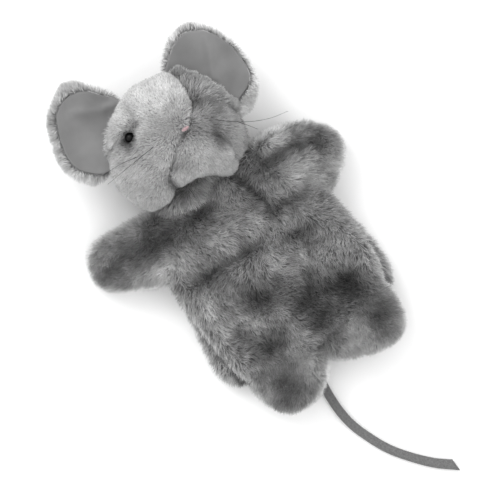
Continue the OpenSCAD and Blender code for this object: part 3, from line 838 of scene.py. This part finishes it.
ears = {
    "right": {"outline": [(-14, 158), (-20, 168), (-28, 181), (-37, 190), (-43, 190), (-51, 185), (-60, 180),
                          (-66, 167), (-71, 152), (-71, 142), (-67, 132), (-59, 124), (-44, 126)],
              "satin": [(-12, 162), (-22, 171), (-30, 182), (-43, 186), (-56, 181), (-62, 171), (-68, 155),
                        (-69, 143), (-65, 134), (-54, 124), (-40, 124), (-20, 140)],
              "fold": [(-14, 160), (-28, 163), (-46, 173)], "centre": (-44, 152), "dir": (-0.707, 0.707)},
    "left": {"outline": [(22, 154), (32, 165), (42, 173), (52, 175), (61, 171), (68, 162), (73, 148), (75, 134),
                         (73, 120), (67, 111), (57, 104), (44, 105)],
             "satin": [(21, 156), (34, 167), (50, 174), (60, 170), (69, 161), (74, 146), (75, 131), (72, 120),
                       (63, 113), (46, 110), (36, 118), (24, 138)],
             "fold": [(66, 170), (58, 150), (50, 135)], "centre": (52, 140), "dir": (0.927, 0.375),
             "roll": [[(30, 150, 50), (4.5, 5, 5), 0], [(35, 142, 51), (5, 6, 5.5), 0],
                      [(40, 132, 51), (5, 8, 5.5), 0], [(44, 121, 50), (4.5, 8, 5), 0],
                      [(47, 111, 48), (4.5, 7, 5), 0]]}}
earCoat = {"count": 26000, "length": 6.5, "width": 0.5, "lean": 1.2, "ruffle": 0.35, "tuft": 2.6,
           "tuftSize": 5, "rim": 0.2, "mottle": 0.4}
# the two layers' heights, how far the rim cups up over its radius, and the fold's ridge
earForm = {"plushZ": (39, 44.5), "satinZ": (44.2, 46.4), "cup": 6.0, "radius": 32, "sink": 3.5,
           "ridge": 2.2, "ridgeWidth": 3.5, "fill": 0.2, "rollFill": 0.3, "rollCount": 16000, "rollLength": 4.5}


def makeEar(side, seed):
    ear = ears[side]
    back = paddedForm(side + "EarSkin", ear["outline"], *earForm["plushZ"], 1.6, 3)
    satin = paddedForm(side + "EarSatin", ear["satin"], *earForm["satinZ"], 1.1, 2)
    centre, out = np.array(ear["centre"]), np.array(ear["dir"])
    for piece in (back, satin):
        co = points(piece)
        flat = co[:, :2] / mm
        r = np.linalg.norm(flat - centre, axis=1)
        along = (flat - centre) @ out
        lift = earForm["cup"] * np.clip(r / earForm["radius"], 0, 1.3) ** 2 - earForm["sink"]
        lift += earForm["ridge"] * np.exp(-(lineDistance(flat, ear["fold"]) / earForm["ridgeWidth"]) ** 2)
        lift += 1.3 * wave(co, 24, seed) * 2
        lift += np.clip(-along - 8, 0, 30) * 0.15
        co[:, 2] += lift * mm
        setPoints(piece, co)
    satin.data.materials.clear()
    satin.data.materials.append(earSatin)
    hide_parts(side + "_ear_plush")
    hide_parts(side + "_ear_lining")
    co, n = points(back), normalsOf(back)
    flat = co[:, :2] / mm - centre
    outwards = flat / np.maximum(np.linalg.norm(flat, axis=1), 1)[:, None]
    way = np.concatenate([outwards, np.zeros((len(co), 1))], 1)
    past = outsideDistance(co[:, :2] / mm, ear["satin"])
    cover = np.where(n[:, 2] > -0.2, np.clip((past - 0.6) / 1.2, 0, 1), 0.35)
    hair = growPile(back, earCoat, toneAt(co, 0.77, [], seed, 0.05), combAlong(back, way, 0.4, 18, seed), cover,
                    seed=seed)
    for piece in (back, satin, hair):
        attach(piece, side + "_ear")
    if "roll" not in ear:
        return
    roll = stuffedForm(side + "EarRollSkin", ear["roll"], 1.6, 3)
    co, n = points(roll), normalsOf(roll)
    way = np.tile(np.array((*ear["dir"], 0.0)), (len(co), 1))
    rollCoat = {**earCoat, "count": earForm["rollCount"], "length": earForm["rollLength"]}
    # the roll's tone of 0.60, below the ear's 0.77, paints shade on the fold turned away from the light
    rollHair = growPile(roll, rollCoat, toneAt(co, 0.60, [], seed + 5, 0.06),
                        combAlong(roll, way, 0.6, 12, seed + 5), np.clip(n[:, 2] + 0.7, 0, 1), seed=seed + 7)
    for piece in (roll, rollHair):
        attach(piece, "head")


# how far each point lies outside a closed outline, and less than 0 inside it
def outsideDistance(flat, outline):
    loop = [np.array(p) for p in rounded(outline, 1)]
    away = lineDistance(flat, [tuple(p) for p in loop + loop[:1]])
    inside = np.zeros(len(flat), bool)
    x, y = flat[:, 0], flat[:, 1]
    for a, b in zip(loop, loop[1:] + loop[:1]):
        cross = (a[1] > y) != (b[1] > y)
        inside ^= cross & (x < (b[0] - a[0]) * (y - a[1]) / ((b[1] - a[1]) or 1e-9) + a[0])
    return np.where(inside, -away, away)


# a flat felt strip, widening a little towards its slanted end
tail = {"route": [(-8, -64), (-12, -76), (-16, -92), (-17.5, -110), (-16, -126), (-11, -142), (-5, -155.5),
                  (3.5, -168.5), (15.5, -183), (28, -194)],
        "slant": 3.2, "width": 6.5, "thick": 2.6, "z": 2.0, "flare": 0.16, "flareFrom": 0.75}


# a smooth curve through the route's points
def tailPath(steps=4):
    pts = [Vector((x, y, tail["z"])) for x, y in tail["route"]]
    ends = [pts[0] * 2 - pts[1]] + pts + [pts[-1] * 2 - pts[-2]]
    path = []
    for k in range(1, len(ends) - 2):
        a, b, c, d = ends[k - 1:k + 3]
        for s in range(steps):
            t = s / steps
            path.append(0.5 * ((2 * b) + (c - a) * t + (2 * a - 5 * b + 4 * c - d) * t * t
                               + (3 * b - a - 3 * c + d) * t ** 3))
    return [p * mm for p in path + [pts[-1]]]


def makeTail():
    path = tailPath()
    form = bmesh.new()
    half, thick = tail["width"] / 2 * mm, tail["thick"] / 2 * mm
    section = [(-1, -0.5), (-0.8, -1), (0, -0.9), (0.8, -1), (1, -0.5), (1, 0.5), (0.8, 1), (0.1, 0.75),
               (-0.1, 0.75), (-0.8, 1), (-1, 0.5)]
    rings = []
    for k, p in enumerate(path):
        d = (path[min(k + 1, len(path) - 1)] - path[max(k - 1, 0)]).normalized()
        side = Vector((-d.y, d.x, 0))
        past = max(0, k - len(path) * tail["flareFrom"]) / (len(path) * (1 - tail["flareFrom"]))
        wide = half * (1 + tail["flare"] * past)
        cut = tail["slant"] * mm if k == len(path) - 1 else 0
        ring = [form.verts.new(p + side * u * wide - d * u * cut + Vector((0, 0, w * thick)))
                for u, w in section]
        rings.append([form.edges.new((a, b)) for a, b in zip(ring, ring[1:] + ring[:1])])
    for a, b in zip(rings, rings[1:]):
        bmesh.ops.bridge_loops(form, edges=a + b)
    bmesh.ops.holes_fill(form, edges=rings[0] + rings[-1], sides=20)
    bmesh.ops.recalc_face_normals(form, faces=form.faces)
    strip = putPiece("tailStrip", form)
    strip.data.materials.append(woolFelt)
    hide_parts("tail")
    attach(strip, "torso")


whiskers = {
    "right": [[(-14, 119, 85), (-34, 118, 81), (-56, 117, 66)],
              [(-27, 120, 81), (-40, 123, 76), (-54, 124, 66)]],
    "left": [[(33, 109, 76), (46, 98, 67), (64, 88, 56), (79, 84, 48)],
             [(45, 99, 67), (50, 92, 62), (54, 86, 56)]],
    "r": 0.22, "taper": 0.6}


def makeWhiskers(side):
    data = bpy.data.curves.new(side + "Whiskers", "CURVE")
    data.dimensions = "3D"
    data.bevel_depth = whiskers["r"] * mm
    data.bevel_resolution = 1
    for line in whiskers[side]:
        spline = data.splines.new("BEZIER")
        spline.bezier_points.add(len(line) - 1)
        for k, (point, p) in enumerate(zip(spline.bezier_points, line)):
            point.co = Vector(p) * mm
            point.handle_left_type = point.handle_right_type = "AUTO"
            point.radius = 1.0 - whiskers["taper"] * k / (len(line) - 1)
    data.use_fill_caps = True
    curve = bpy.data.objects.new(side + "Whiskers", data)
    bpy.context.scene.collection.objects.link(curve)
    data.materials.append(nylonHair)
    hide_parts(side + "_whiskers")
    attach(curve, "head")


eyeBeads = {"right": {"at": (-23.5, 134.5, 68.9), "r": 3.8}, "left": {"at": (34, 128, 58), "r": 4.0}}


def makeEye(side):
    bead = eyeBeads[side]
    form = bmesh.new()
    bmesh.ops.create_uvsphere(form, u_segments=32, v_segments=18, radius=bead["r"] * mm,
                              matrix=Matrix.Translation(Vector(bead["at"]) * mm))
    eye = putPiece(side + "EyeBead", form)
    eye.data.materials.append(blackAcrylicBead)
    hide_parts(side + "_eye")
    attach(eye, "head")


nosePatch = {"at": (12, 116, 89), "size": (2.3, 1.5, 1.2), "threads": 6, "thread": 0.62}


def makeNose():
    form = bmesh.new()
    count = nosePatch["threads"]
    for k in range(count):
        u = (k / (count - 1)) * 2 - 1
        long = nosePatch["size"][1] * math.sqrt(max(0.12, 1 - 0.75 * u * u))
        at = Vector(nosePatch["at"]) * mm + Vector((u * nosePatch["size"][0], 0, 0)) * mm
        place = (Matrix.Translation(at)
                 @ Matrix.Diagonal((nosePatch["thread"] * mm, long * mm, nosePatch["size"][2] * mm, 1)))
        bmesh.ops.create_uvsphere(form, u_segments=10, v_segments=8, radius=1, matrix=place)
    patch = putPiece("noseStitches", form)
    patch.data.materials.append(pinkThread)
    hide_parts("nose")
    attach(patch, "head")


mouth = {"path": [(9, 108, 84), (3, 102, 80), (-4, 96, 74), (-12, 91, 68)], "r": 0.5}


def makeMouth():
    data = bpy.data.curves.new("mouthStitch", "CURVE")
    data.dimensions = "3D"
    data.bevel_depth = mouth["r"] * mm
    data.bevel_resolution = 2
    spline = data.splines.new("BEZIER")
    spline.bezier_points.add(len(mouth["path"]) - 1)
    for point, p in zip(spline.bezier_points, mouth["path"]):
        point.co = Vector(p) * mm
        point.handle_left_type = point.handle_right_type = "AUTO"
    data.use_fill_caps = True
    stitch = bpy.data.objects.new("mouthStitch", data)
    bpy.context.scene.collection.objects.link(stitch)
    data.materials.append(greyThread)
    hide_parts("mouth_stitch")
    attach(stitch, "head")


setCamera()
makeTail()
setStudio()
print("camera, tail and studio set")
dressCadNodes()
makeBody()
print("body made")
for seed, side in enumerate(("right", "left")):
    makeArm(side, 60 + seed)
    makeArmLining(side, 64 + seed)
    makeFoot(side, 70 + seed)
print("arms and feet made")
makeHead()
print("head made")
for seed, side in enumerate(("right", "left")):
    makeEar(side, 80 + seed)
    makeWhiskers(side)
    makeEye(side)
makeNose()
makeMouth()
print("ears and face made")
bpy.data.objects.remove(bpy.data.objects["pileBlade"])
